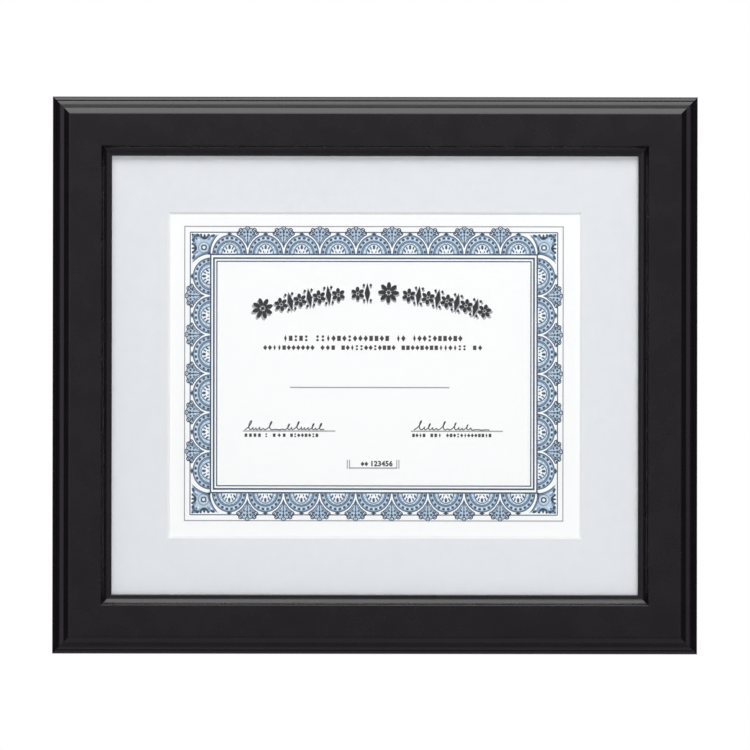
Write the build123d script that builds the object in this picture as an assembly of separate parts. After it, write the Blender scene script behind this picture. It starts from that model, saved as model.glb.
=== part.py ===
"""Certificate frame for a letter-size sheet, hung on a wall, in millimetres.

Four mitred rails carry a sheet of glass, a bevelled window mat, the certificate, a filler board and a
backing board in their rabbet. Turn buttons on the back hold the boards in. Two sawtooth hangers let the
frame hang wide or tall, and soft bumpers keep it off the wall.

Axes: X runs to the right as the certificate is read, Y runs back into the wall, and Z is up. The origin
is the point on the wall where a nail's shank bears in the middle notch of the upper hanger, so all the
frame is at negative Y.
"""

import os
from math import acos, cos, radians, sin, sqrt, tan

from build123d import *

# The certificate and the window that shows it
paper_width = 279.4
paper_height = 215.9
paper_thickness = 0.2
window_width = 266.7
window_height = 209.6
mat_border = 36.4
mat_thickness = 1.5

# The rest of the pack, from front to back
glass_thickness = 2.0
tape_thickness = 0.1
tape_width = 25.0
tape_on_paper = 9.0
tape_on_mat = 14.0
tape_step = 0.3
tape_spacing = 150.0
filler_thickness = 3.0
backing_thickness = 3.0
pack_slack = 0.2
pack_clearance = 0.8

# The moulding's section, from its outer side to its sight edge
rail_width = 38.6
bead_radius = 3.7
outer_bead_width = 2.3
outer_bead_rise = 2.6
quirk_width = 0.3
quirk_depth = 0.3
inner_bead_width = 2.6
inner_bead_rise = 2.1
band_width = 2.3
shoulder_rise = 2.6
shoulder_angle = 40.0
shoulder_round = 3.0
arris_round = 0.6
cove_radius = 4.7
lip_land = 1.7
lip_round = 0.7
lip_thickness = 2.8
rabbet_width = 6.4
back_chamfer = 0.6

# V nails across the mitres
v_nail_leg = 5.0
v_nail_steel = 0.6
v_nail_height = 9.0
v_nail_sink = 0.3
v_nail_shares = (0.2, 0.52)

# Turn buttons and their screws
button_head_radius = 5.5
button_tip_radius = 3.0
button_reach = 17.0
button_steel = 0.9
button_lift = 0.15
button_inset = 8.5
button_curl = 5.0
button_curl_rise = 0.9
rib_length = 8.0
rib_height = 0.6
button_spread_share = 0.3
screw_shank_radius = 1.5
screw_running_clearance = 0.08
screw_head_radius = 3.1
screw_head_height = 1.7
screw_head_round = 1.1
screw_head_clearance = 0.1
screw_depth = 10.0
screw_point = 2.5
recess_length = 3.2
recess_width = 0.8
recess_depth = 0.9
pilot_clearance = 0.05
pilot_extra = 0.5

# Sawtooth hangers and their nails
hanger_drop = 16.0
hanger_length = 46.0
hanger_height = 9.6
hanger_steel = 0.8
hanger_raise = 2.7
hanger_bridge = 28.0
hanger_ramp = 3.0
hanger_end_round = 2.4
notch_pitch = 1.9
notch_depth = 1.2
notch_count = 13
hanger_nail_inset = 3.4
nail_shank_radius = 0.75
nail_head_radius = 1.8
nail_head_height = 0.6
nail_depth = 9.0
nail_point = 1.2

# Wall bumpers
bumper_radius = 6.2
bumper_face_radius = 4.4
bumper_inset = 38.0

# One overrun serves every cut
overrun = 1.0

# Worked out from the sizes above
bevel_run = mat_thickness
sight_width = window_width + 2 * (bevel_run + mat_border)
sight_height = window_height + 2 * (bevel_run + mat_border)
outer_width = sight_width + 2 * rail_width
outer_height = sight_height + 2 * rail_width
pack_width = sight_width + 2 * (rabbet_width - pack_clearance)
pack_height = sight_height + 2 * (rabbet_width - pack_clearance)
sheets_thickness = glass_thickness + mat_thickness + paper_thickness + tape_thickness
rabbet_depth = sheets_thickness + filler_thickness + backing_thickness + pack_slack
front_height = rabbet_depth + lip_thickness + cove_radius + arris_round
back_land = rail_width - rabbet_width
stand_off = hanger_raise + hanger_steel
shank_clear_radius = screw_shank_radius + screw_running_clearance

back_y = -stand_off
ledge_y = back_y - rabbet_depth
top_z = hanger_drop
centre_z = top_z - outer_height / 2

INWARD = {"top": (0, 0, -1), "bottom": (0, 0, 1), "left": (1, 0, 0), "right": (-1, 0, 0)}
# Each rail starts at one corner of the frame, and the rails follow one another round it.
START_CORNER = {"top": "top_right", "right": "bottom_right", "bottom": "bottom_left", "left": "top_left"}


def rail_length(side):
    """The length of a rail along its outer side."""
    return outer_width if side in ("top", "bottom") else outer_height


def rail_plane(side):
    """A rail's own frame: x along it, y from its outer side inwards, z from its back to its front."""
    inward = Vector(*INWARD[side])
    front = Vector(0, -1, 0)
    half = outer_height / 2 if side in ("top", "bottom") else outer_width / 2
    middle = Vector(0, back_y, centre_z) - inward * half
    return Plane(origin=middle, x_dir=inward.cross(front), z_dir=front)


def corner_plane(side):
    """The frame of the corner that a rail starts at, with its origin at the outer corner of the back."""
    return rail_plane(side) * Pos(-rail_length(side) / 2, 0, 0)


def moulding_section():
    """The rail's section, with x from the outer side inwards and y from the back to the front."""
    band_top = front_height - shoulder_rise
    quirk_floor = band_top - inner_bead_rise
    outer_bead_top = quirk_floor + quirk_depth
    side_top = outer_bead_top - outer_bead_rise
    quirk_end = outer_bead_width + quirk_width
    bead_end = quirk_end + inner_bead_width
    band_end = bead_end + band_width
    slope = radians(shoulder_angle)
    bevel_top = front_height - shoulder_round * (1 - cos(slope))
    bevel_end = band_end + (bevel_top - band_top) / tan(slope)
    face_start = bevel_end + shoulder_round * sin(slope)
    cove_end = rail_width - lip_land
    face_end = cove_end - cove_radius
    cove_top = front_height - arris_round
    lip_top = cove_top - cove_radius
    rabbet_edge = rail_width - rabbet_width
    outline = [
        Line((back_chamfer, 0), (0, back_chamfer)),
        Line((0, back_chamfer), (0, side_top)),
        RadiusArc((0, side_top), (outer_bead_width, outer_bead_top), bead_radius),
        Line((outer_bead_width, outer_bead_top), (quirk_end, quirk_floor)),
        RadiusArc((quirk_end, quirk_floor), (bead_end, band_top), bead_radius),
        Line((bead_end, band_top), (band_end, band_top)),
        Line((band_end, band_top), (bevel_end, bevel_top)),
        RadiusArc((bevel_end, bevel_top), (face_start, front_height), shoulder_round),
        Line((face_start, front_height), (face_end - arris_round, front_height)),
        RadiusArc((face_end - arris_round, front_height), (face_end, cove_top), arris_round),
        RadiusArc((face_end, cove_top), (cove_end, lip_top), -cove_radius),
        Line((cove_end, lip_top), (rail_width - lip_round, lip_top)),
        RadiusArc((rail_width - lip_round, lip_top), (rail_width, lip_top - lip_round), lip_round),
        Line((rail_width, lip_top - lip_round), (rail_width, rabbet_depth)),
        Line((rail_width, rabbet_depth), (rabbet_edge, rabbet_depth)),
        Line((rabbet_edge, rabbet_depth), (rabbet_edge, 0)),
        Line((rabbet_edge, 0), (back_chamfer, 0)),
    ]
    return make_face(outline)


def mitred_bar(side):
    """The moulding at a rail's length with both its mitres cut, before it is drilled."""
    half = rail_length(side) / 2
    bar = extrude(Plane.YZ * moulding_section(), amount=half, both=True)
    inner_half = half - rail_width
    plan = Polyline(
        (-half, 0),
        (half, 0),
        (inner_half, rail_width),
        (-inner_half, rail_width),
        close=True,
    )
    return bar & extrude(make_face(plan), amount=front_height)


def v_nail(offset, low, high):
    """One V nail in its corner's frame, its vertex on the mitre, from low to high above the back."""
    far = offset + v_nail_leg
    inner = offset + v_nail_steel
    chevron = Polyline(
        (offset, offset),
        (far, offset),
        (far, inner),
        (inner, inner),
        (inner, far),
        (offset, far),
        close=True,
    )
    return Pos(0, 0, low) * extrude(make_face(chevron), amount=high - low)


def v_nails(side, low, high):
    """The V nails of the corner that a rail starts at, in the frame's own axes."""
    return [corner_plane(side) * v_nail(share * back_land, low, high) for share in v_nail_shares]


def button_places(side):
    """Where the turn buttons pivot on a rail, in the rail's own frame."""
    along = button_spread_share * (sight_width if side in ("top", "bottom") else sight_height)
    across = back_land - button_inset
    return [(-along, across), (along, across)]


def hanger_nail_places():
    """Where a hanger's nails go, in the rail's own frame."""
    along = hanger_length / 2 - hanger_nail_inset
    across = hanger_drop + notch_depth - hanger_height / 2
    return [(-along, across), (along, across)]


def pilot_hole(place, radius, depth):
    """What a drill takes out of a rail's back for a screw or a nail."""
    hole_depth = depth + pilot_extra
    hole = Cylinder(radius + pilot_clearance, hole_depth + overrun)
    return Pos(*place, (hole_depth - overrun) / 2) * hole


def rail(side, next_side):
    """A finished rail, drilled for its screws and nails and slotted for the V nails at both its ends."""
    body = mitred_bar(side)
    for place in button_places(side):
        body -= pilot_hole(place, screw_shank_radius, screw_depth)
    if side in HANGER_SIDES:
        for place in hanger_nail_places():
            body -= pilot_hole(place, nail_shank_radius, nail_depth)
    body = rail_plane(side) * body
    for corner in (side, next_side):
        for slot in v_nails(corner, -overrun, v_nail_sink + v_nail_height):
            body -= slot
    return body


def turn_button():
    """A turn button about its screw at the origin, its tail along +y and the boards on its +z side."""
    half_angle = acos((button_head_radius - button_tip_radius) / button_reach)
    across_share = sin(half_angle)
    along_share = (button_head_radius - button_tip_radius) / button_reach
    head_x = button_head_radius * across_share
    head_y = button_head_radius * along_share
    tip_x = button_tip_radius * across_share
    tip_y = button_reach + button_tip_radius * along_share
    tail_end = button_reach + button_tip_radius
    plan = make_face(
        [
            ThreePointArc((-head_x, head_y), (0, -button_head_radius), (head_x, head_y)),
            Line((head_x, head_y), (tip_x, tip_y)),
            ThreePointArc((tip_x, tip_y), (0, tail_end), (-tip_x, tip_y)),
            Line((-tip_x, tip_y), (-head_x, head_y)),
        ]
    )
    under = -button_lift
    over = under - button_steel
    curl_start = tail_end - button_curl
    head_end = -button_head_radius - overrun
    # The strip that the button is pressed from, seen from its edge: flat, its tail curling off the board.
    strip = make_face(
        [
            Line((head_end, over), (head_end, under)),
            Line((head_end, under), (curl_start, under)),
            TangentArc((curl_start, under), (tail_end, under - button_curl_rise), tangent=(1, 0)),
            Line((tail_end, under - button_curl_rise), (tail_end, over - button_curl_rise)),
            TangentArc((curl_start, over), (tail_end, over - button_curl_rise), tangent=(1, 0)),
            Line((curl_start, over), (head_end, over)),
        ]
    )
    deepest = over - button_curl_rise - overrun
    blank = Pos(0, 0, deepest) * extrude(plan, amount=-deepest)
    button = blank & extrude(Plane.YZ * strip, amount=button_head_radius + overrun, both=True)
    hole = Cylinder(shank_clear_radius, button_steel + 2 * overrun)
    button -= Pos(0, 0, (under + over) / 2) * hole
    rib_start = (tail_end - button_curl + screw_head_radius - rib_length) / 2
    rib_end = rib_start + rib_length
    rib_half = make_face(
        [
            Line((0, rib_start), (0, rib_end)),
            ThreePointArc((0, rib_end), (rib_height, (rib_start + rib_end) / 2), (0, rib_start)),
        ]
    )
    return button + Pos(0, 0, over) * revolve(rib_half, Axis.Y)


def screw():
    """A pan-head screw at the origin of a rail's back, pointing along +z into the wood."""
    head_low = -(button_lift + button_steel + screw_head_clearance)
    head_top = head_low - screw_head_height
    half = make_face(
        [
            Line((0, head_top), (screw_head_radius - screw_head_round, head_top)),
            RadiusArc(
                (screw_head_radius - screw_head_round, head_top),
                (screw_head_radius, head_top + screw_head_round),
                -screw_head_round,
            ),
            Line((screw_head_radius, head_top + screw_head_round), (screw_head_radius, head_low)),
            Line((screw_head_radius, head_low), (screw_shank_radius, head_low)),
            Line((screw_shank_radius, head_low), (screw_shank_radius, screw_depth - screw_point)),
            Line((screw_shank_radius, screw_depth - screw_point), (0, screw_depth)),
            Line((0, screw_depth), (0, head_top)),
        ]
    )
    body = revolve(Plane.XZ * half, Axis.Z)
    cut_depth = recess_depth + overrun
    for size in ((recess_length, recess_width), (recess_width, recess_length)):
        slot = Box(*size, cut_depth, align=(Align.CENTER, Align.CENTER, Align.MAX))
        body -= Pos(0, 0, head_top + recess_depth) * slot
    return body


def hanger():
    """A sawtooth hanger in its rail's frame, its ends on the back and its teeth towards the sight edge."""
    low = hanger_drop + notch_depth
    high = low - hanger_height
    half = hanger_length / 2
    blank = Pos(0, (low + high) / 2, 0) * RectangleRounded(hanger_length, hanger_height, hanger_end_round)
    for index in range(notch_count):
        middle = (index - (notch_count - 1) / 2) * notch_pitch
        left = middle - notch_pitch / 2
        right = middle + notch_pitch / 2
        blank -= make_face(Polyline((left, low), (middle, hanger_drop), (right, low), close=True))
    for place in hanger_nail_places():
        blank -= Pos(*place) * Circle(nail_shank_radius + pilot_clearance)
    bridge_half = hanger_bridge / 2
    foot_half = bridge_half + hanger_ramp
    under = [(-half, 0), (-foot_half, 0), (-bridge_half, -hanger_raise)]
    under += [(-x, z) for x, z in reversed(under)]
    over = [(x, z - hanger_steel) for x, z in reversed(under)]
    strip = make_face(Polyline(*under, *over, close=True))
    plate = extrude(blank, amount=-(stand_off + overrun))
    ribbon = extrude(Plane.XZ * strip, amount=-(rail_width + overrun))
    return plate & ribbon


def hanger_nail():
    """A nail at the origin of a rail's back, holding a hanger's end, its point along +z in the wood."""
    head_low = -hanger_steel
    head_top = head_low - nail_head_height
    half = make_face(
        Polyline(
            (0, head_top),
            (nail_head_radius, head_top),
            (nail_head_radius, head_low),
            (nail_shank_radius, head_low),
            (nail_shank_radius, nail_depth - nail_point),
            (0, nail_depth),
            close=True,
        )
    )
    return revolve(Plane.XZ * half, Axis.Z)


def bumper():
    """A soft bumper at the origin of a rail's back, its flat face at the wall."""
    half = make_face(
        [
            Line((0, 0), (bumper_radius, 0)),
            ThreePointArc(
                (bumper_radius, 0),
                (bumper_face_radius + (bumper_radius - bumper_face_radius) * sqrt(3) / 2, -stand_off / 2),
                (bumper_face_radius, -stand_off),
            ),
            Line((bumper_face_radius, -stand_off), (0, -stand_off)),
            Line((0, -stand_off), (0, 0)),
        ]
    )
    return revolve(Plane.XZ * half, Axis.Z)


def sheet(width, height, front, thickness):
    """A flat sheet centred on the frame, its front face at the given Y."""
    return Pos(0, front + thickness / 2, centre_z) * Box(width, thickness, height)


def window_mat(front):
    """The mat with its window cut on a bevel that opens towards the glass."""
    board = sheet(pack_width, pack_height, front, mat_thickness)
    window_plane = Plane(origin=(0, front, centre_z), x_dir=(1, 0, 0), z_dir=(0, -1, 0))
    mouth_grow = 2 * (bevel_run + overrun)
    mouth = Rectangle(window_width + mouth_grow, window_height + mouth_grow)
    throat = Rectangle(window_width - 2 * overrun, window_height - 2 * overrun)
    mouth_face = window_plane * Pos(0, 0, overrun) * mouth
    throat_face = window_plane * Pos(0, 0, -mat_thickness - overrun) * throat
    return board - loft([mouth_face, throat_face])


def paper_hinge(middle_x, mat_back):
    """A strip of tape on the mat's back and the certificate's top edge, with a step between them."""
    paper_top = centre_z + paper_height / 2
    step_low = paper_top + tape_step
    paper_back = mat_back + paper_thickness
    tape_back = paper_back + tape_thickness
    mat_side = mat_back + tape_thickness
    low = paper_top - tape_on_paper
    high = paper_top + tape_on_mat
    step_high = step_low + tape_step
    section = Polyline(
        (paper_back, low),
        (tape_back, low),
        (tape_back, step_high),
        (mat_side, step_high),
        (mat_side, high),
        (mat_back, high),
        (mat_back, step_low),
        (paper_back, step_low),
        close=True,
    )
    return Pos(middle_x, 0, 0) * extrude(Plane.YZ * make_face(section), amount=tape_width / 2, both=True)


def on_rail(side, places, piece):
    """Copies of a piece set on a rail's back."""
    return [rail_plane(side) * Pos(*place) * piece for place in places]


def group(pieces):
    """Separate solids that share one node."""
    return Compound(children=[solid for piece in pieces for solid in piece.solids()])


SIDES = ("top", "right", "bottom", "left")
HANGER_SIDES = ("top", "left")
BUTTON_NAMES = {
    "top": ("top_right", "top_left"),
    "right": ("right_lower", "right_upper"),
    "bottom": ("bottom_left", "bottom_right"),
    "left": ("left_upper", "left_lower"),
}


def build():
    """Every node of the frame, by name."""
    nodes = {}
    for index, side in enumerate(SIDES):
        # The rail that starts where this one ends is the one before it in the ring.
        nodes[f"rail_{side}"] = rail(side, SIDES[index - 1])
        corner = START_CORNER[side]
        nodes[f"v_nails_{corner}"] = group(v_nails(side, v_nail_sink, v_nail_sink + v_nail_height))

    mat_front = ledge_y + glass_thickness
    mat_back = mat_front + mat_thickness
    filler_front = mat_back + paper_thickness + tape_thickness
    backing_front = filler_front + filler_thickness
    nodes["glass"] = sheet(pack_width, pack_height, ledge_y, glass_thickness)
    nodes["window_mat"] = window_mat(mat_front)
    nodes["certificate"] = sheet(paper_width, paper_height, mat_back, paper_thickness)
    nodes["paper_hinge_left"] = paper_hinge(-tape_spacing / 2, mat_back)
    nodes["paper_hinge_right"] = paper_hinge(tape_spacing / 2, mat_back)
    nodes["filler_board"] = sheet(pack_width, pack_height, filler_front, filler_thickness)
    nodes["backing_board"] = sheet(pack_width, pack_height, backing_front, backing_thickness)

    screws = []
    for side in SIDES:
        placed = on_rail(side, button_places(side), turn_button())
        for name, button in zip(BUTTON_NAMES[side], placed):
            nodes[f"turn_button_{name}"] = button
        screws += on_rail(side, button_places(side), screw())
    nodes["turn_button_screws"] = group(screws)

    nails = []
    for side in HANGER_SIDES:
        nodes[f"sawtooth_hanger_{side}"] = rail_plane(side) * hanger()
        nails += on_rail(side, hanger_nail_places(), hanger_nail())
    nodes["hanger_nails"] = group(nails)

    for side in ("top", "bottom"):
        along = outer_width / 2 - bumper_inset
        across = back_land / 2
        for placed in on_rail(side, [(-along, across), (along, across)], bumper()):
            hand = "left" if placed.center().X < 0 else "right"
            nodes[f"wall_bumper_{side}_{hand}"] = placed
    return nodes


def main():
    os.makedirs("parts", exist_ok=True)
    nodes = build()
    for name, shape in nodes.items():
        export_step(shape, f"parts/{name}.step")
    depth = front_height + stand_off
    print(f"{len(nodes)} nodes, frame {outer_width:.1f} x {outer_height:.1f} x {depth:.1f} mm")
    print(f"sight {sight_width:.1f} x {sight_height:.1f}, pack {pack_width:.1f} x {pack_height:.1f}")
    print(f"ledge y {ledge_y:.2f}, centre z {centre_z:.2f}, bottom z {top_z - outer_height:.2f}")
    for side in SIDES:
        for name, place in zip(BUTTON_NAMES[side], button_places(side)):
            pivot = rail_plane(side).from_local_coords(Vector(*place, 0))
            print(f"pivot {name}: x {pivot.X:.3f} y {pivot.Y:.3f} z {pivot.Z:.3f}")
    side_seat = rail_plane("left").from_local_coords(Vector(0, hanger_drop, -stand_off))
    print(f"tall hanger seat: x {side_seat.X:.3f} y {side_seat.Y:.3f} z {side_seat.Z:.3f}")


main()
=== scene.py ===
# %% [markdown]
# # A certificate frame
# This lesson dresses a wall frame: black moulded rails, glass, a pale mat with a bevelled window and a
# printed certificate, closed at the back by turn buttons. The engineering model comes in as a fixed frame,
# in metres, with the wall at Y = 0 and the certificate facing -Y. Nothing in it is moved. We only give
# its pieces their finish, and add what is too fine for the engineering model, such as the printing.

# %% Load the fixed frame
import math
import random

import bpy
from mathutils import Matrix, Vector


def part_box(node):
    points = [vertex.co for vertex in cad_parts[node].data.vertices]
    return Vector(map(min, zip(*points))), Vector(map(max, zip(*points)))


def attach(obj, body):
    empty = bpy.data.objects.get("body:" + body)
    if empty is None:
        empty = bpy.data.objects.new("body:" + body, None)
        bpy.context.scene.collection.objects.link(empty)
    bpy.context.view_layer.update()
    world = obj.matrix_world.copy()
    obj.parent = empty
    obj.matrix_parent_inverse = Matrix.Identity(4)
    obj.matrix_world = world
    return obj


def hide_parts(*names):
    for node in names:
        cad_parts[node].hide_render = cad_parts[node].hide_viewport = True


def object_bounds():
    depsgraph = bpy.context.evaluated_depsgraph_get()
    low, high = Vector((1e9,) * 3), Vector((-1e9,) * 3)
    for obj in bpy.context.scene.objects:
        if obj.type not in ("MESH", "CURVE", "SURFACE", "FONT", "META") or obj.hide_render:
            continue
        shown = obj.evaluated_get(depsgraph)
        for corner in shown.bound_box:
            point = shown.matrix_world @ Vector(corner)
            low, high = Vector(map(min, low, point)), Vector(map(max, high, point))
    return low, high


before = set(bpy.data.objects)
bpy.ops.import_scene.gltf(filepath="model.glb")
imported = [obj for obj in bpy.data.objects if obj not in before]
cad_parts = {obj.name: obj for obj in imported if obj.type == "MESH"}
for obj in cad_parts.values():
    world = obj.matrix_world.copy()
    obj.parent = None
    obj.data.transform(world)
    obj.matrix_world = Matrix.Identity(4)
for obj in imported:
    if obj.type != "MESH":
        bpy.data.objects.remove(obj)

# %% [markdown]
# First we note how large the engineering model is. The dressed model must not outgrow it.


def as_lists(corners):
    """The two corners of a box as plain lists of numbers."""
    return [list(corner) for corner in corners]


cad_box = as_lists(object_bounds())
low, high = Vector(cad_box[0]), Vector(cad_box[1])
middle = (low + high) / 2
print("the frame is", [round(1000 * side, 1) for side in high - low], "mm")

# %% [markdown]
# Blender's operators act on everything that is selected, and loading leaves the engineering pieces
# selected. These helpers deselect everything, select one piece on purpose, and run edit steps on it.


# %% Selecting one piece on purpose
def clear():
    """Leaves edit mode and deselects everything."""
    if bpy.context.mode != "OBJECT":
        bpy.ops.object.mode_set(mode="OBJECT")
    bpy.ops.object.select_all(action="DESELECT")


def pick(*pieces):
    """Selects these pieces and nothing else. The first one becomes the active one."""
    clear()
    for piece in pieces:
        piece.select_set(True)
    bpy.context.view_layer.objects.active = pieces[0]


def edit(piece):
    """Opens one piece in edit mode with all of it selected."""
    pick(piece)
    bpy.ops.object.mode_set(mode="EDIT")
    bpy.ops.mesh.select_mode(type="FACE")
    bpy.ops.mesh.select_all(action="SELECT")


clear()
print("nothing is selected now:", len(bpy.context.selected_objects))

# %% [markdown]
# ## The camera
# The picture looks square at the frame from far away, so the sides stay nearly parallel. A long lens
# some four and a half metres off gives that. The picture is a hair off level, so the camera is rolled
# by as much.

# %% Place the camera
VIEW_ANGLE = math.radians(6)
PICTURE_WIDTH = 0.4874
ABOVE_MIDDLE = 0.0003
RIGHT_OF_MIDDLE = 0.00004
ROLL = math.radians(0.08)

distance = PICTURE_WIDTH / 2 / math.tan(VIEW_ANGLE / 2)
bpy.ops.object.camera_add(location=(RIGHT_OF_MIDDLE, low.y - distance, middle.z + ABOVE_MIDDLE))
camera = bpy.context.active_object
camera.rotation_euler = (math.radians(90), 0, 0)
camera.rotation_euler.rotate_axis("Z", ROLL)
camera.data.lens = camera.data.sensor_width / 2 / math.tan(VIEW_ANGLE / 2)
bpy.context.scene.camera = camera
bpy.context.scene.view_settings.view_transform = "Standard"
print("camera", round(distance, 3), "m in front, lens", round(camera.data.lens, 1), "mm")

# %% [markdown]
# ## Small helpers for node trees
# Light and finishes are built from nodes. The editor's way is to drag sockets together by hand. In a
# script, small helpers keep that readable: they add a node, ramp a value, do a sum or mix two shaders.


# %% Adding nodes, ramps, sums and mixes
def node(tree, kind, settings=None, **inputs):
    """Adds a node. Settings are its own options, and inputs set its sockets by name."""
    made = tree.nodes.new(kind)
    for name, value in (settings or {}).items():
        setattr(made, name, value)
    for name, value in inputs.items():
        made.inputs[name.replace("_", " ")].default_value = value
    return made


def between(tree, source, start, end, first=0.0, last=1.0):
    """Runs smoothly from first to last as the source goes from start to end."""
    span = node(tree, "ShaderNodeMapRange", {"interpolation_type": "SMOOTHSTEP"})
    span.inputs["From Min"].default_value = start
    span.inputs["From Max"].default_value = end
    span.inputs["To Min"].default_value = first
    span.inputs["To Max"].default_value = last
    tree.links.new(source, span.inputs["Value"])
    return span.outputs["Result"]


def maths(tree, operation, first, second):
    """One sum. Either side is a socket or a plain number."""
    made = node(tree, "ShaderNodeMath", {"operation": operation})
    for place, value in enumerate((first, second)):
        if isinstance(value, (int, float)):
            made.inputs[place].default_value = value
        else:
            tree.links.new(value, made.inputs[place])
    return made.outputs["Value"]


def mixed(tree, share, first, last):
    """A mix of two shader nodes: all first at a share of zero, all last at one."""
    mix = node(tree, "ShaderNodeMixShader")
    for place, socket in enumerate((share, first.outputs[0], last.outputs[0])):
        tree.links.new(socket, mix.inputs[place])
    return mix


def plain_material(name):
    """A new material with only a principled shader and an output."""
    material = bpy.data.materials.new(name)
    material.use_nodes = True
    return material, material.node_tree, material.node_tree.nodes["Principled BSDF"]


print("node helpers are ready")

# %% [markdown]
# ## The room
# A black satin moulding shows almost nothing but reflections, so the room matters more than the paint.
# Behind the frame the room is a white sweep. In front it is dim and grey, darker downwards and to the
# right, lighter to both sides of the camera, and further round nearly black, which draws the dark lines
# down the left and right rails. Matt surfaces get an even light. A real room of walls would do it too,
# but slowly and with noise, so the world's colour is worked out from the direction in which a ray
# leaves. Each of that direction's parts runs from -1 to 1, and the spans below are read on them.

# %% Paint the room around the frame
MATT_LIGHT = 0.20
FRONT_GREY, FRONT_RISE = 0.19, 0.25
LEFT_SHARE, RIGHT_SHARE = 1.08, 0.76
SIDE_GLOW, SIDE_DARK = 2.2, 0.05
LOWER_GREY = 0.40
NEAR_AHEAD = 0.12
GLOW_SPAN = (0.14, 0.30)
DARK_SPAN = (0.42, 0.66)
LOWER_SPAN = (-0.75, -0.35)
BEHIND_SPAN = (0.55, 0.85)
ROOM_TINT = (1.0, 0.965, 1.0, 1.0)

world = bpy.data.worlds.new("white studio")
bpy.context.scene.world = world
world.use_nodes = True
world.cycles.sampling_method = "NONE"
tree = world.node_tree
tree.nodes.clear()
way = node(tree, "ShaderNodeSeparateXYZ")
tree.links.new(node(tree, "ShaderNodeTexCoord").outputs["Generated"], way.inputs["Vector"])
sideways = maths(tree, "ABSOLUTE", way.outputs["X"], 0.0)
upwards = between(tree, way.outputs["Z"], -NEAR_AHEAD, NEAR_AHEAD, FRONT_GREY, FRONT_GREY + FRONT_RISE)
rightwards = between(tree, way.outputs["X"], -NEAR_AHEAD, NEAR_AHEAD, LEFT_SHARE, RIGHT_SHARE)
grey = maths(tree, "MULTIPLY", upwards, rightwards)
glow = between(tree, sideways, *GLOW_SPAN, 1.0, SIDE_GLOW)
dimming = between(tree, sideways, *DARK_SPAN, 1.0, SIDE_DARK)
ahead = maths(tree, "MULTIPLY", maths(tree, "MULTIPLY", grey, glow), dimming)
downward = between(tree, way.outputs["Z"], *LOWER_SPAN, 1.0, 0.0)
lower = maths(tree, "MULTIPLY", downward, LOWER_GREY)
room = maths(tree, "MAXIMUM", ahead, lower)
behind = between(tree, way.outputs["Y"], *BEHIND_SPAN)
mirrored = maths(tree, "MAXIMUM", room, behind)
path = node(tree, "ShaderNodeLightPath")
seen = maths(tree, "MAXIMUM", path.outputs["Is Camera Ray"], path.outputs["Is Transmission Ray"])

even = node(tree, "ShaderNodeBackground", Color=(1.0, 1.0, 1.0, 1.0), Strength=MATT_LIGHT)
shine = node(tree, "ShaderNodeBackground", Color=ROOM_TINT)
white = node(tree, "ShaderNodeBackground", Color=(1.0, 1.0, 1.0, 1.0), Strength=1.0)
tree.links.new(mirrored, shine.inputs["Strength"])
matt_or_shine = mixed(tree, path.outputs["Is Glossy Ray"], even, shine)
all_rays = mixed(tree, seen, matt_or_shine, white)
tree.links.new(all_rays.outputs[0], node(tree, "ShaderNodeOutputWorld").inputs["Surface"])
print("the room has", len(tree.nodes), "nodes")

# %% [markdown]
# ## The lamps
# Three soft boxes do the work. The key stands high in front, lights the mat and the paper, and drops the
# soft shadow of the top rail on the mat. A box low in front fills that shadow, and no piece mirrors it.
# One hangs overhead and lights nothing matt: bevels and beads only mirror it. Two lamps behind are for
# looking at the back. A lamp's watts are its brightness times its area times pi.


# %% Hang the soft boxes
def soft_box(name, place, wide, tall, brightness, colour=(1.0, 1.0, 1.0)):
    """A flat lamp of even brightness that faces the middle of the frame, and that the camera doesn't see."""
    bpy.ops.object.light_add(type="AREA", location=place)
    lamp = bpy.context.active_object
    lamp.name = name
    lamp.data.shape = "RECTANGLE"
    lamp.data.size = wide
    lamp.data.size_y = tall
    lamp.data.energy = brightness * wide * tall * math.pi
    lamp.data.color = colour
    lamp.rotation_euler = (middle - Vector(place)).to_track_quat("-Z", "Y").to_euler()
    lamp.visible_camera = False
    return lamp


WARM_WHITE = (1.0, 0.995, 0.985)

soft_box("key_box", place=(0, -1.16, 0.947), wide=1.8, tall=0.92, brightness=3.16, colour=WARM_WHITE)
fill = soft_box("front_box", place=(0.35, -2.6, -0.45), wide=1.3, tall=1.3, brightness=6.4)
fill.visible_glossy = False
overhead = soft_box("overhead_box", place=(0, -0.20, 0.86), wide=1.5, tall=0.76, brightness=3.1)
overhead.rotation_euler = (0, 0, 0)
overhead.visible_diffuse = False
for side in (-1, 1):
    soft_box("back_lamp", place=(side * 0.9, 1.3, 0.75), wide=0.9, tall=0.7, brightness=2.6)

# %% [markdown]
# ## The floor
# The frame hangs well above a pale floor, which the picture doesn't reach. Its soft round edge fades into
# the white room, so no rim shows from other sides, and it catches the frame's shadow.

# %% Lay the floor
FLOOR_MIDDLE = Vector((0.0, 0.1, -0.60))
FLOOR_RADIUS = 1.15
FADE_FROM, FADE_TO = 0.45, FLOOR_RADIUS * 0.97
FLOOR_GREY = 0.78

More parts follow.
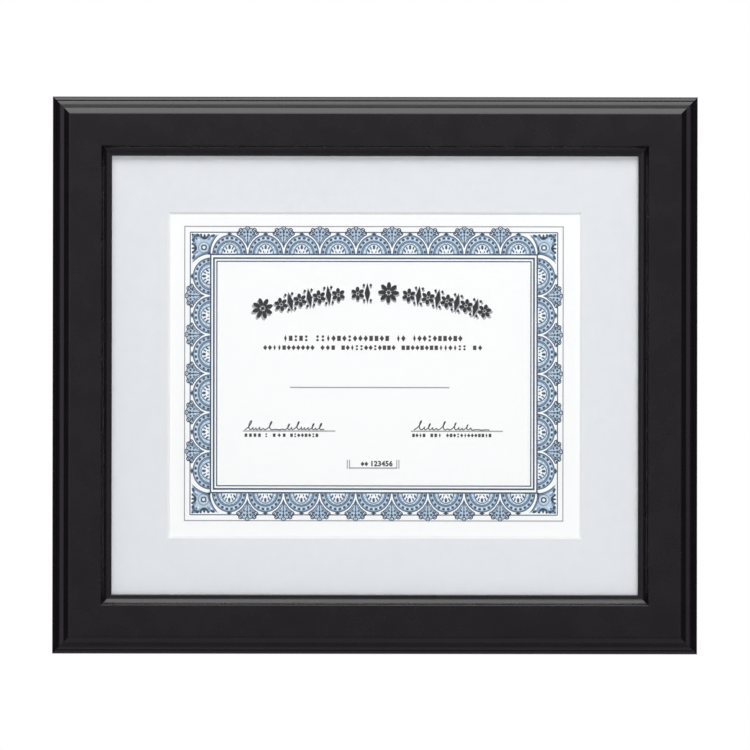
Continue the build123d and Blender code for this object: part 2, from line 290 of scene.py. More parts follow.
bpy.ops.mesh.primitive_circle_add(vertices=96, radius=FLOOR_RADIUS, fill_type="NGON", location=FLOOR_MIDDLE)
floor = bpy.context.active_object
floor.name = "floor"
bpy.ops.object.transform_apply(location=True)
floor.visible_glossy = False
floor_paint, tree, matt = plain_material("pale floor")
matt.inputs["Base Color"].default_value = (FLOOR_GREY, FLOOR_GREY, FLOOR_GREY, 1.0)
matt.inputs["Roughness"].default_value = 0.9
place = node(tree, "ShaderNodeTexCoord")
flat = node(tree, "ShaderNodeVectorMath", {"operation": "LENGTH"})
to_middle = node(tree, "ShaderNodeMapping", Location=-FLOOR_MIDDLE)
tree.links.new(place.outputs["Object"], to_middle.inputs["Vector"])
tree.links.new(to_middle.outputs[0], flat.inputs[0])
fade = between(tree, flat.outputs["Value"], FADE_FROM, FADE_TO, 1.0, 0.0)
tree.links.new(fade, matt.inputs["Alpha"])
floor.data.materials.append(floor_paint)
print("floor at", FLOOR_MIDDLE.z, "m")

# %% [markdown]
# ## Working from an engineering piece
# Engineering pieces arrive as loose triangles, which shade as facets. Where a piece is round we take a
# copy, weld it, and shade it smooth across gentle angles. The copy then stands for the original.


# %% A welded copy of an engineering piece
WELD_GAP = 0.000002


def welded(node_name, name, body="frame", smooth=32):
    """A copy of a node with its triangles welded, shaded smooth, riding on its body in its place."""
    clear()
    piece = bpy.data.objects.new(name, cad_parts[node_name].data.copy())
    bpy.context.collection.objects.link(piece)
    piece.data.materials.clear()
    edit(piece)
    bpy.ops.mesh.customdata_custom_splitnormals_clear()
    bpy.ops.mesh.remove_doubles(threshold=WELD_GAP)
    bpy.ops.mesh.normals_make_consistent(inside=False)
    pick(piece)
    bpy.ops.object.shade_smooth_by_angle(angle=math.radians(smooth))
    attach(piece, body)
    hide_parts(node_name)
    return piece


print("round pieces are copied and welded one by one below")

# %% [markdown]
# Most finishes here are a colour that wanders a little, a gloss that wanders a little, and a fine bump.
# A picture could carry that, but noise stays sharp at any distance and never repeats. The noise reads
# the piece's own coordinates, in metres, so a scale of 1000 makes grains of about a millimetre, and
# stretching it along one axis makes grain or brush marks. Heights of bumps are in metres too.


# %% A finish made of grain
NOISE_LOW, NOISE_HIGH = 0.3, 0.7
CLOUD_SHARE = 12


def grain(tree, scale, stretch=(1.0, 1.0, 1.0), detail=3.0):
    """Noise on the piece's own coordinates, finer along the axes with a larger stretch."""
    place = node(tree, "ShaderNodeTexCoord")
    drawn = node(tree, "ShaderNodeMapping", Scale=stretch)
    noise = node(tree, "ShaderNodeTexNoise", Scale=scale, Detail=detail, Roughness=0.55)
    tree.links.new(place.outputs["Object"], drawn.inputs["Vector"])
    tree.links.new(drawn.outputs["Vector"], noise.inputs["Vector"])
    return noise.outputs["Fac"]


def two_tones(tree, source, first, last):
    """A colour between two tones, picked by a grey pattern."""
    ramp = node(tree, "ShaderNodeValToRGB")
    ramp.color_ramp.elements[0].position = NOISE_LOW
    ramp.color_ramp.elements[0].color = (*first, 1.0)
    ramp.color_ramp.elements[1].position = NOISE_HIGH
    ramp.color_ramp.elements[1].color = (*last, 1.0)
    tree.links.new(source, ramp.inputs["Fac"])
    return ramp.outputs["Color"]


def blended(tree, share, first, last):
    """One colour socket mixed into another by a share."""
    mix = node(tree, "ShaderNodeMix", {"data_type": "RGBA"})
    tree.links.new(share, mix.inputs["Factor"])
    tree.links.new(first, mix.inputs[6])
    tree.links.new(last, mix.inputs[7])
    return mix.outputs[2]


def raise_grain(tree, shader, source, height):
    """Lifts the surface by a pattern: height is in metres."""
    bump = node(tree, "ShaderNodeBump", Strength=1.0, Distance=height)
    tree.links.new(source, bump.inputs["Height"])
    tree.links.new(bump.outputs["Normal"], shader.inputs["Normal"])


def wandering_finish(name, first, last, gloss, scale, height, stretch=(1.0, 1.0, 1.0), metal=0.0):
    """Two close tones, a gloss between two values, and a fine bump, all from one kind of grain."""
    material, tree, shader = plain_material(name)
    cloud = grain(tree, scale / CLOUD_SHARE, stretch)
    fine = grain(tree, scale, stretch)
    tree.links.new(two_tones(tree, cloud, first, last), shader.inputs["Base Color"])
    tree.links.new(between(tree, fine, NOISE_LOW, NOISE_HIGH, *gloss), shader.inputs["Roughness"])
    shader.inputs["Metallic"].default_value = metal
    raise_grain(tree, shader, fine, height)
    return material


print("finish helpers are ready")

# %% [markdown]
# ## The rails
# Four lengths of moulded wood, mitred at 45 degrees and sprayed satin black. Spray paint over fine sanded
# wood is nearly smooth: a faint orange peel, and a trace of grain along the rail. The back is never
# painted on such a frame. It stays bare wood, with a ragged edge of overspray, so the paint is a
# layer picked by depth: in front of the back face it is black, behind it is wood.

# %% Satin black over bare wood
BARE_DEPTH = -0.0039
BARE_SPAN = (BARE_DEPTH - 0.0002, BARE_DEPTH + 0.0001)
OVERSPRAY = 0.0005
SATIN = (0.25, 0.29)
BARE_ROUGHER = 0.5
ORANGE_PEEL = 0.000006


def painted_wood(name, stretch):
    """Black satin paint in front, bare pale wood at the back, with the grain along the rail."""
    material, tree, shader = plain_material(name)
    peel = grain(tree, scale=900)
    fibre = grain(tree, scale=1500, stretch=stretch)
    cloud = grain(tree, scale=60)
    black = two_tones(tree, cloud, (0.0050, 0.0038, 0.0056), (0.0062, 0.0048, 0.0070))
    rings = grain(tree, scale=320, stretch=stretch, detail=6.0)
    wood = two_tones(tree, rings, (0.42, 0.27, 0.15), (0.62, 0.45, 0.28))
    depth = node(tree, "ShaderNodeSeparateXYZ")
    tree.links.new(node(tree, "ShaderNodeTexCoord").outputs["Object"], depth.inputs["Vector"])
    ragged = maths(tree, "MULTIPLY", grain(tree, scale=400), OVERSPRAY)
    edge = maths(tree, "SUBTRACT", depth.outputs["Y"], ragged)
    bare = between(tree, edge, *BARE_SPAN)
    tree.links.new(blended(tree, bare, black, wood), shader.inputs["Base Color"])
    satin = between(tree, cloud, NOISE_LOW, NOISE_HIGH, *SATIN)
    rough = maths(tree, "ADD", satin, maths(tree, "MULTIPLY", bare, BARE_ROUGHER))
    tree.links.new(rough, shader.inputs["Roughness"])
    surface = maths(tree, "ADD", maths(tree, "MULTIPLY", peel, 0.5), maths(tree, "MULTIPLY", fibre, 0.5))
    raise_grain(tree, shader, surface, ORANGE_PEEL)
    return material


paint_across = painted_wood("satin black across", (0.03, 1.0, 1.0))
paint_upright = painted_wood("satin black upright", (1.0, 1.0, 0.03))
print("rail paint:", len(paint_across.node_tree.nodes), "nodes")

# %% [markdown]
# Where two rails meet, the mitre shows as a hairline, because each end is eased by sanding. A dark line
# in the paint could fake it, but a true bevel catches the light. We take a welded copy of each rail, melt
# its flat triangles together, find the edges on the mitre planes by their place, and bevel them by a
# tenth of a millimetre, on the painted side only. The narrow band between beads and shoulder leans
# outwards a little, so that it shines brighter than the face: its inner edge is found and lifted.

# %% Ease the mitres of the four rails
PAINTED_DEPTH = BARE_DEPTH - 0.0006
MELT_UNDER = math.radians(0.2)
SMOOTH_UNDER = math.radians(26)
EASE = 0.00012
BAND_INWARDS, BAND_DEPTH = 0.0075, -0.0190
BAND_LIFT = 0.0003
SAME_PLACE = 0.00002


def inwards(point):
    """How far a point lies inwards from the left or right side, and from the top or bottom."""
    return high.x - abs(point.x), (high.z - low.z) / 2 - abs(point.z - middle.z)


def on_a_mitre(point):
    """Whether a point lies on one of the four diagonal planes, on the painted side."""
    from_side, from_end = inwards(point)
    return abs(from_side - from_end) < SAME_PLACE and point.y < PAINTED_DEPTH


def on_the_band(point):
    """Whether a point lies on the inner edge of the narrow band."""
    return abs(min(inwards(point)) - BAND_INWARDS) < SAME_PLACE and abs(point.y - BAND_DEPTH) < SAME_PLACE


for rail_side in ("top", "bottom", "left", "right"):
    rail = welded(f"rail_{rail_side}", f"moulding_{rail_side}")
    edit(rail)
    bpy.ops.mesh.dissolve_limited(angle_limit=MELT_UNDER)
    bpy.ops.mesh.select_mode(type="EDGE")
    bpy.ops.mesh.select_all(action="DESELECT")
    clear()
    corners = rail.data.vertices
    band_edge = [corner for corner in corners if on_the_band(corner.co)]
    for corner in band_edge:
        corner.co.y -= BAND_LIFT
    eased = 0
    for line in rail.data.edges:
        line.select = all(on_a_mitre(corners[end].co) for end in line.vertices)
        eased += line.select
    pick(rail)
    bpy.ops.object.mode_set(mode="EDIT")
    bpy.ops.mesh.bevel(offset=EASE, segments=1, clamp_overlap=True)
    pick(rail)
    bpy.ops.object.shade_smooth_by_angle(angle=SMOOTH_UNDER)
    rail.data.materials.append(paint_across if rail_side in ("top", "bottom") else paint_upright)
    print(rail.name, "lifted corners", len(band_edge), "eased edges", eased)

# %% [markdown]
# ## The glass
# A 2 mm pane of float glass. Seen square it is nearly invisible and mirrors only a few per cent, and at
# a slant it mirrors more. A mix of clear and mirror, steered by how slanted the view is, gives that and
# lets light through without noise. The Fresnel node isn't used: inside a pane whose light doesn't bend
# it would mirror everything beyond 43 degrees, and the mat would lie in the dark.

# %% Clear picture glass
SQUARE_ON = 0.022
AT_A_SLANT = 0.9
STEEPNESS = 5.0

material, tree, shader = plain_material("picture glass")
tree.nodes.remove(shader)
clear_part = node(tree, "ShaderNodeBsdfTransparent", Color=(0.997, 0.998, 0.998, 1.0))
mirror_part = node(tree, "ShaderNodeBsdfGlossy", Color=(1.0, 1.0, 1.0, 1.0), Roughness=0.015)
slant = node(tree, "ShaderNodeLayerWeight", Blend=0.5)
steep = maths(tree, "POWER", slant.outputs["Facing"], STEEPNESS)
share = maths(tree, "ADD", maths(tree, "MULTIPLY", steep, AT_A_SLANT), SQUARE_ON)
pane = mixed(tree, share, clear_part, mirror_part)
tree.links.new(pane.outputs[0], tree.nodes["Material Output"].inputs["Surface"])


def dress(node_name, finish):
    """Gives an engineering piece that keeps its shape a better finish."""
    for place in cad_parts[node_name].material_slots:
        place.material = finish
    print(node_name, "is dressed in", finish.name)


dress("glass", material)

# %% [markdown]
# ## The mat
# Four-ply board: cool off-white paper over a whiter core, which shows where the window is cut at 45
# degrees. The board has a fine tooth. One material could tell core from paper by depth, but the cut is
# crisp, so the bevel's faces are found by their tilt and get the core's own finish.

# %% Mat board and its white core
CUT_TILT = (0.2, 0.9)

mat_paper = wandering_finish(
    "mat paper", (0.723, 0.741, 0.772), (0.743, 0.761, 0.792), gloss=(0.82, 0.92), scale=2600, height=0.000012
)
mat_core = wandering_finish(
    "mat core", (0.80, 0.81, 0.82), (0.84, 0.85, 0.86), gloss=(0.85, 0.95), scale=1800, height=0.00002
)
mat = welded("window_mat", "mat_with_bevel", smooth=20)
mat.data.materials.append(mat_paper)
mat.data.materials.append(mat_core)
cut_faces = 0
for face in mat.data.polygons:
    if CUT_TILT[0] < abs(face.normal.y) < CUT_TILT[1]:
        face.material_index = 1
        cut_faces += 1
print("mat bevel faces:", cut_faces)

# %% [markdown]
# ## The sheet
# Smooth white certificate paper. Paper never sends back all the light, so it stays a touch below full
# white, with a tooth too fine to see from here. The sheet keeps its engineering shape.

# %% Certificate paper
sheet_paper = wandering_finish(
    "certificate paper",
    (0.915, 0.925, 0.930),
    (0.930, 0.938, 0.943),
    gloss=(0.60, 0.75),
    scale=3500,
    height=0.000006,
)
dress("certificate", sheet_paper)

# %% [markdown]
# ## The printing
# The certificate has a steel-blue border of scallops and shells, a common engraver's ornament. A printed
# line is a film of ink, so each colour becomes one very thin closed piece lying on the paper. That stays
# crisp from any distance, which a picture would not. We draw flat on a board: x across, y up, one step
# to about two thirds of a millimetre, with the print's middle at zero. At the end each colour is given
# its thickness and laid on the paper in one move.

# %% The drawing board
STEP = 0.0006517
PRINT_MIDDLE = Vector((-0.00072, 0.0, middle.z + 0.00113))
PAPER_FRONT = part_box("certificate")[0][1]
FILM = 0.045


def flat_shape(corners, at=(0.0, 0.0), size=(1.0, 1.0), turn=0.0):
    """A filled flat shape: a circle of few or many corners, stretched, turned and put in its place."""
    clear()
    bpy.ops.mesh.primitive_circle_add(vertices=corners, radius=1, fill_type="NGON")
    shape = bpy.context.active_object
    shape.scale = (size[0], size[1], 1)
    shape.rotation_euler = (0, 0, turn)
    shape.location = (at[0], at[1], 0)
    bpy.ops.object.transform_apply(location=True, rotation=True, scale=True)
    return shape


def leaf(across, up, half_wide, half_tall, degrees=0.0, corners=6):
    """A small filled leaf, dot or lozenge, leaning to the left by some degrees."""
    return flat_shape(corners, (across, up), (half_wide, half_tall), math.radians(degrees))


def blank(points):
    """A flat shape cut to a drawn outline: its corners are moved onto the points."""
    shape = flat_shape(len(points))
    for corner, point in zip(shape.data.vertices, points):
        corner.co = (point[0], point[1], 0)
    return shape


def stroke(points, width):
    """A line of even width through a few points."""
    left, right = [], []
    for place, point in enumerate(points):
        before = Vector(points[max(place - 1, 0)])
        after = Vector(points[min(place + 1, len(points) - 1)])
        along = (after - before).normalized()
        across = Vector((-along.y, along.x)) * width / 2
        left.append(Vector(point) + across)
        right.append(Vector(point) - across)
    return blank(left + right[::-1])


FIRST_INSET = 0.05


def band(wide, tall, inner_wide, inner_tall, corners=48, at=(0.0, 0.0)):
    """A flat ring between two ellipses: a disc is inset, the inset is stretched and its middle cut out."""
    start = min(wide, tall) * FIRST_INSET
    shape = flat_shape(corners, size=(wide, tall))
    edit(shape)
    bpy.ops.mesh.inset(thickness=start)
    stretch = (inner_wide / (wide - start), inner_tall / (tall - start), 1)
    bpy.ops.transform.resize(value=stretch, center_override=(0, 0, 0))
    bpy.ops.mesh.delete(type="FACE")
    pick(shape)
    shape.location = (at[0], at[1], 0)
    bpy.ops.object.transform_apply(location=True)
    return shape


def arch(wide, tall, inner_wide, inner_tall):
    """The upper half of such a ring, standing on the base line."""
    shape = band(wide, tall, inner_wide, inner_tall)
    edit(shape)
    bpy.ops.mesh.bisect(plane_co=(0, 0, 0), plane_no=(0, 1, 0), clear_inner=True)
    clear()
    return shape


def joined(name, shapes):
    """One piece made of several shapes."""
    pick(*shapes)
    if len(shapes) > 1:
        bpy.ops.object.join()
    piece = bpy.context.active_object
    piece.name = name
    return piece


def ring(half_wide, half_inner, corners, at):
    """A round flat ring somewhere on the board."""
    return band(half_wide, half_wide, half_inner, half_inner, corners, at)


def placed(piece, at, turn=0.0, size=(1.0, 1.0)):
    """A copy of a drawn piece, with its own mesh, put somewhere else on the board."""
    copy = piece.copy()
    copy.data = piece.data.copy()
    bpy.context.collection.objects.link(copy)
    copy.location = (at[0], at[1], 0)
    copy.rotation_euler = (0, 0, turn)
    copy.scale = (size[0], size[1], 1)
    pick(copy)
    bpy.ops.object.transform_apply(location=True, rotation=True, scale=True)
    return copy


def discard(*pieces):
    """Throws a pattern piece away once its copies are made."""
    for piece in pieces:
        bpy.data.objects.remove(piece)


print("paper front at", round(PAPER_FRONT * 1000, 2), "mm; one step is", STEP * 1000, "mm")

# %% [markdown]
# The inks are steel blue in four strengths, a soft grey, black with its grey shadow, and brown black.
# Real ink soaks in unevenly, so each wanders slightly in tone. It is a little glossier than the paper.

# %% The inks
THINNER, PAPER_SHOWS = 1.12, 0.004


def ink(name, colour):
    """An ink of one colour that wanders by a few per cent."""
    lighter = [min(1.0, share * THINNER + PAPER_SHOWS) for share in colour]
    return wandering_finish(name, colour, lighter, gloss=(0.45, 0.60), scale=2200, height=0.000003)


ink_dark = ink("steel blue ink", (0.030, 0.063, 0.118))
ink_middle = ink("half tone ink", (0.195, 0.285, 0.41))
ink_pale = ink("pale blue ink", (0.45, 0.56, 0.67))
ink_faint = ink("faintest blue ink", (0.72, 0.80, 0.87))
ink_grey = ink("grey ink", (0.30, 0.30, 0.33))
ink_title = ink("title ink", (0.010, 0.011, 0.013))
ink_shadow = ink("title shadow ink", (0.36, 0.38, 0.41))
ink_word = ink("brown black ink", (0.045, 0.036, 0.033))
CLEARANCE = 0.000002


def lay_on_paper(name, shapes, finish, lift=1.0):
    """Joins flat shapes, gives them the film's thickness, and lays them on the paper in metres."""
    piece = joined(name, shapes)
    edit(piece)
    bpy.ops.mesh.extrude_region_move(TRANSFORM_OT_translate={"value": (0, 0, FILM * lift)})
    bpy.ops.mesh.select_all(action="SELECT")
    bpy.ops.mesh.normals_make_consistent(inside=False)
    clear()
    onto_sheet(piece, finish)


def onto_sheet(piece, finish):
    """Moves a finished drawing from the board onto the front of the sheet."""
    place = Matrix.Translation((PRINT_MIDDLE.x, PAPER_FRONT - CLEARANCE, PRINT_MIDDLE.z))
    stand = Matrix.Rotation(math.radians(90), 4, "X")
    piece.data.transform(place @ stand @ Matrix.Scale(STEP, 4))
    piece.data.materials.clear()
    piece.data.materials.append(finish)
    for layer in list(piece.data.uv_layers):
        piece.data.uv_layers.remove(layer)
    sheet_low, sheet_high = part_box("certificate")
    layer = piece.data.uv_layers.new(name="OFBake")
    for loop in piece.data.loops:
        point = piece.data.vertices[loop.vertex_index].co
        across = (point.x - sheet_low[0]) / (sheet_high[0] - sheet_low[0])
        up = (point.z - sheet_low[2]) / (sheet_high[2] - sheet_low[2])
        layer.data[loop.index].uv = (across, up)
    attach(piece, "frame")
    print(piece.name, len(piece.data.polygons), "faces")


print("eight inks are mixed")

# %% [markdown]
# ### Rules
# Five thin rectangles frame the ornament, from a grey hairline outside to a fine line inside. Each is a
# plane that is inset by the line's width, with its middle cut out. Only the second is made of strokes,
# because it stops at each shell.

# %% Rule the lines
BASE_WIDE, BASE_TALL = 163.2, 119.1
FIELD_WIDE, FIELD_TALL = 183.6, 141.2
SHELLS_ACROSS, SHELLS_UPRIGHT = 8, 5
OUTER_RULE = (189.15, 147.05, 1.05)
INNER_RULES = ((BASE_WIDE, BASE_TALL, 1.45), (160.0, 115.35, 1.7), (157.0, 112.2, 1.15))
FIELD_LINE = 1.0
PITCH, SIDE_PITCH = 36.1, 38.9
SIDE_STRETCH = SIDE_PITCH / PITCH
SHELL_GAP = 8.6


def rule(half_wide, half_tall, width):
    """A rectangle of thin line, measured to the line's middle."""
    clear()
    bpy.ops.mesh.primitive_plane_add(size=2)
    line = bpy.context.active_object
    line.scale = (half_wide + width / 2, half_tall + width / 2, 1)
    bpy.ops.object.transform_apply(scale=True)
    edit(line)
    bpy.ops.mesh.inset(thickness=width)
    bpy.ops.mesh.delete(type="FACE")
    clear()
    return line


def centred(count, pitch):
    """Places at an even pitch, with zero in their middle."""
    return [(place - (count - 1) / 2) * pitch for place in range(count)]


def broken_line(length, shells, pitch, gap):
    """The stretches of a line that runs from shell to shell and stops short of each."""
    ends = [-length]
    for at in centred(shells, pitch):
        ends += [at - gap, at + gap]
    ends.append(length)
    return list(zip(ends[::2], ends[1::2]))


lay_on_paper("print_outer_rule", [rule(*OUTER_RULE)], ink_grey)
rules = [rule(*size) for size in INNER_RULES]
for side in (-1, 1):
    for start, end in broken_line(FIELD_WIDE, SHELLS_ACROSS, PITCH, SHELL_GAP):
        rules.append(stroke([(start, side * FIELD_TALL), (end, side * FIELD_TALL)], FIELD_LINE))
    for start, end in broken_line(FIELD_TALL, SHELLS_UPRIGHT, SIDE_PITCH, SHELL_GAP * SIDE_STRETCH):
        rules.append(stroke([(side * FIELD_WIDE, start), (side * FIELD_WIDE, end)], FIELD_LINE))
lay_on_paper("print_rules", rules, ink_dark)

# %% [markdown]
# ### One scallop
# A half-round fan on the base line: a fine rim, a beaded band and a pale ring round a heart with a drop
# and slim leaves. Drawn line by line it would take hundreds of points. It is quicker as half rings, each
# of which reaches inwards to where the next one starts. What each ink prints becomes a piece of its own.

# %% Draw one scallop
SCALLOP_ARCS = (
    ("dark", (17.3, 19.6)),
    ("middle", (16.5, 18.8)),
    ("pale", (15.7, 17.8)),
    ("dark", (13.1, 13.9)),
    ("middle", (12.4, 13.2)),
    ("dark", (11.5, 12.4)),
    ("pale", (11.0, 11.9)),
    ("dark", (8.1, 10.8)),
    ("faint", (7.3, 10.0)),
)
HEART = (4.4, 5.6)
HEART_LEAVES = ((3.3, 6.5, 0.75, 2.0, -24), (5.3, 3.6, 0.95, 2.1, -30), (2.0, 2.6, 0.6, 1.4, -14))


def bead_arc(count, wide, tall, size):
    """Beads spread evenly along a half ellipse."""
    beads = []
    for place in range(count):
        turn = math.pi * (place + 0.5) / count
        at = (wide * math.cos(turn), tall * math.sin(turn))
        beads.append(flat_shape(6, at, size, turn - math.pi / 2))
    return beads


scallop = {"dark": [], "middle": [], "pale": [], "faint": []}
inner_sizes = [size for strength, size in SCALLOP_ARCS[1:]] + [HEART]
for (strength, size), inner_size in zip(SCALLOP_ARCS, inner_sizes):
    scallop[strength].append(arch(*size, *inner_size))
scallop["dark"] += [leaf(0.0, 20.4, 3.0, 1.5, corners=4), leaf(0.0, 7.3, 1.3, 2.5)]
scallop["dark"] += bead_arc(10, 14.9, 16.4, (1.65, 1.35))
for across, up, half_wide, half_tall, lean in HEART_LEAVES:
    for side in (-1, 1):
        scallop["dark"].append(leaf(side * across, up, half_wide, half_tall, side * lean))
scallop["faint"] += bead_arc(9, 14.7, 16.2, (0.85, 1.25)) + bead_arc(7, 9.6, 11.4, (0.9, 0.6))
scallop["faint"].append(leaf(0.0, 1.6, 1.3, 1.5))
scallop = {strength: joined(f"scallop_{strength}", shapes) for strength, shapes in scallop.items()}
print("one scallop:", len(scallop["dark"].data.polygons), "dark faces")

# %% [markdown]
# ### One shell
# Between two scallops a small shell opens from a thin stem. Its pale field fills the gap between their
# rims and ends in five ringed lobes, the middle one close to the outer rule. Ribs and rows of dots fan
# out over it. Only the right half is written down, and a loop over both sides draws the rest.

# %% Draw one shell
SHELL_FOOT, SHELL_TOP = (0.0, 6.6), (0.0, 27.0)
STEM = ((1.0, 8.6), (2.3, 11.5))
STEM_TOP = (0.0, 13.2)
FAN = ((4.0, 14.4), (6.2, 17.0), (8.7, 18.8))
CROWN = ((9.8, 20.8), (8.4, 23.4), (5.2, 25.2), (2.6, 26.4))
SHADE = ((3.0, 14.0), (5.2, 17.2), (8.0, 19.4))
INNER_RIB = ((0.6, 9.2), (2.2, 14.4), (6.2, 22.4))
OUTER_RIB = ((2.2, 11.2), (4.9, 15.4), (9.4, 19.2))
MIDDLE_LOBE, SIDE_LOBES = (0.0, 26.2), ((6.8, 24.2), (8.8, 20.9))
MIDDLE_DOTS = ((0.0, 22.4, 1.4), (0.0, 18.9, 1.1), (0.0, 15.8, 0.7))
SIDE_DOTS = ((3.3, 22.0, 1.3), (5.6, 19.9, 1.2), (2.7, 18.2, 1.0))


def on_side(points, side):
    """Points of the right half, or their mirror images."""
    return [(side * point[0], *point[1:]) for point in points]


def mirrored_outline(foot, half, top):
    """A closed outline from its right half."""
    return [foot, *half, top, *on_side(half[::-1], -1)]


shell = {"dark": [stroke([(0.0, 6.8), (0.0, 13.0), (0.0, 24.0)], 0.8)], "faint": []}
shell["pale"] = [blank(mirrored_outline(SHELL_FOOT, STEM + FAN + CROWN, SHELL_TOP))]
shell["middle"] = [blank(mirrored_outline(SHELL_FOOT, STEM, STEM_TOP))]
for side in (-1, 1):
    shell["middle"].append(stroke(on_side(SHADE, side), 1.5))
    for rib, width in ((INNER_RIB, 0.6), (OUTER_RIB, 0.7), (CROWN, 0.9)):
        shell["dark"].append(stroke(on_side(rib, side), width))
for at in [MIDDLE_LOBE, *on_side(SIDE_LOBES, -1), *SIDE_LOBES]:
    shell["faint"].append(leaf(*at, 1.5, 1.5, corners=10))
    shell["dark"] += [ring(2.4, 1.3, 14, at), leaf(*at, 0.7, 0.7)]
for across, up, size in [*MIDDLE_DOTS, *on_side(SIDE_DOTS, -1), *SIDE_DOTS]:
    shell["dark"].append(leaf(across, up, size, size))
shell = {strength: joined(f"shell_{strength}", shapes) for strength, shapes in shell.items()}
print("one shell:", len(shell["dark"].data.polygons), "dark faces")

# %% [markdown]
# ### One corner
# The corner tile holds a small ring in a pale field, with clusters of leaves along its two outer sides,
# and two long tips that run over the first scallops behind a wide white crescent. The tile is drawn from
# its outer corner, x inwards and y down, and the other three are its mirror images.

# %% Draw one corner
TILE_WIDE, TILE_TALL = 20.6, 22.55
CRESCENT_MIDDLE, CRESCENT_SIZE = (39.25, -22.5), (19.2, 24.5)
UPPER_TIP, LOWER_TIP = [(4.8, -4.2), (24.5, -2.6)], [(2.4, -24.8)]
RING_AT = (13.6, -15.2)
LEAF_SPREAD, LEAF_OUT, LEAF_WIDE = 0.9, 0.9, 0.42


def crescent_edge(first, last, count, swell=0.0):
    """Points along the outer edge of the white crescent, from one angle to another in degrees."""
    x, y = CRESCENT_MIDDLE
    wide, tall = (side + swell for side in CRESCENT_SIZE)
    turns = [math.radians(first + (last - first) * place / (count - 1)) for place in range(count)]
    return [(x - wide * math.cos(turn), y + tall * math.sin(turn)) for turn in turns]


def flipped(points):
    """The same points mirrored across the tile's diagonal."""
    return [(-y * TILE_WIDE / TILE_TALL, -x * TILE_TALL / TILE_WIDE) for x, y in points]


def trefoil(at, turn, size):
    """Three leaves that spread from one point."""
    leaves = []
    for spread in (-LEAF_SPREAD, 0.0, LEAF_SPREAD):
        way = turn + spread
        tip = (at[0] - size * LEAF_OUT * math.sin(way), at[1] + size * LEAF_OUT * math.cos(way))
        leaves.append(flat_shape(6, tip, (size * LEAF_WIDE, size), way))
    return leaves


upper_edge = crescent_edge(57, 0, 9)
corner = {"pale": [blank(UPPER_TIP + upper_edge + flipped(upper_edge)[::-1] + LOWER_TIP)]}
corner["faint"] = [
    leaf(*RING_AT, 4.4, 4.4, corners=4),
    leaf(21.6, -6.4, 1.4, 0.7, 55),
    leaf(6.4, -22.2, 1.4, 0.7, 35),
    leaf(8.4, -7.6, 1.3, 0.7, -45),
]
corner["middle"] = [
    leaf(4.3, -4.3, 2.9, 2.9, corners=10),
    leaf(10.2, -4.4, 1.4, 2.8, 60),
    leaf(4.4, -10.8, 1.4, 2.8, 30),
    leaf(19.0, -6.0, 1.3, 3.0, -35),
    leaf(5.8, -20.6, 1.3, 3.0, 125),
    ring(6.0, 5.1, 20, RING_AT),
]
corner["dark"] = [
    ring(3.1, 1.6, 16, RING_AT),
    leaf(7.2, -3.0, 2.1, 1.7, corners=8),
    leaf(3.0, -7.6, 1.7, 2.1, corners=8),
    leaf(4.3, -4.3, 1.3, 1.3),
    leaf(2.3, -2.3, 1.2, 1.2),
    leaf(10.7, -2.6, 1.3, 1.3),
    leaf(18.3, -2.8, 1.5, 1.3),
    leaf(2.4, -11.7, 1.3, 1.3),
    leaf(2.6, -20.0, 1.3, 1.5),
    leaf(6.4, -6.6, 0.9, 0.9),
    leaf(22.6, -3.4, 1.4, 2.6, -70),
    leaf(3.2, -24.8, 1.4, 2.6, -20),
    *trefoil((14.2, -7.0), 0.0, 2.9),
    *trefoil((6.4, -15.9), math.radians(90), 2.9),
]
for strength, last, swell, width in (("middle", 46, 1.6, 1.5), ("dark", 50, 0.5, 0.9)):
    edge = crescent_edge(0, last, 9, swell)
    corner[strength] += [stroke(edge, width), stroke(flipped(edge), width)]
corner = {strength: joined(f"corner_{strength}", shapes) for strength, shapes in corner.items()}
print("one corner:", len(corner["dark"].data.polygons), "dark faces")

# %% [markdown]
# ### The whole border
# Nine scallops stand along the top and the bottom, six along each side, with a shell between each two.
# The side ones are a little wider and lower. Every copy is placed with its base towards the middle. The
# films differ in thickness, so that light beads lie over the pale field, and dark lines over all.

# %% Set out the border
SIDE_SIZE = (SIDE_STRETCH, TILE_WIDE / TILE_TALL)
INKS = {"pale": ink_pale, "middle": ink_middle, "faint": ink_faint, "dark": ink_dark}
LIFTS = {"pale": 0.3, "middle": 0.5, "faint": 0.7, "dark": 1.0}

spots = []
for kind, more in ((scallop, 1), (shell, 0)):
    for across in centred(SHELLS_ACROSS + more, PITCH):
        spots.append((kind, (across, BASE_TALL), 0.0, (1.0, 1.0)))
        spots.append((kind, (across, -BASE_TALL), math.pi, (1.0, 1.0)))
    for up in centred(SHELLS_UPRIGHT + more, SIDE_PITCH):
        spots.append((kind, (-BASE_WIDE, up), math.pi / 2, SIDE_SIZE))
        spots.append((kind, (BASE_WIDE, up), -math.pi / 2, SIDE_SIZE))
for across in (-1, 1):
    for up in (-1, 1):
        spots.append((corner, (-across * FIELD_WIDE, up * FIELD_TALL), 0.0, (across, up)))

for strength, finish in INKS.items():
    copies = [placed(kind[strength], at, turn, size) for kind, at, turn, size in spots]
    lay_on_paper(f"print_border_{strength}", copies, finish, LIFTS[strength])
for kind in (scallop, shell, corner):
    discard(*kind.values())

# %% [markdown]
# ### The heading
# Certificates carry a bold arched heading. This one holds no words. It is a row of printer's flowers of
# that weight: round blooms with tall lozenges between them, and two larger rosettes. A grey copy, shifted
# down and out, is its shadow.

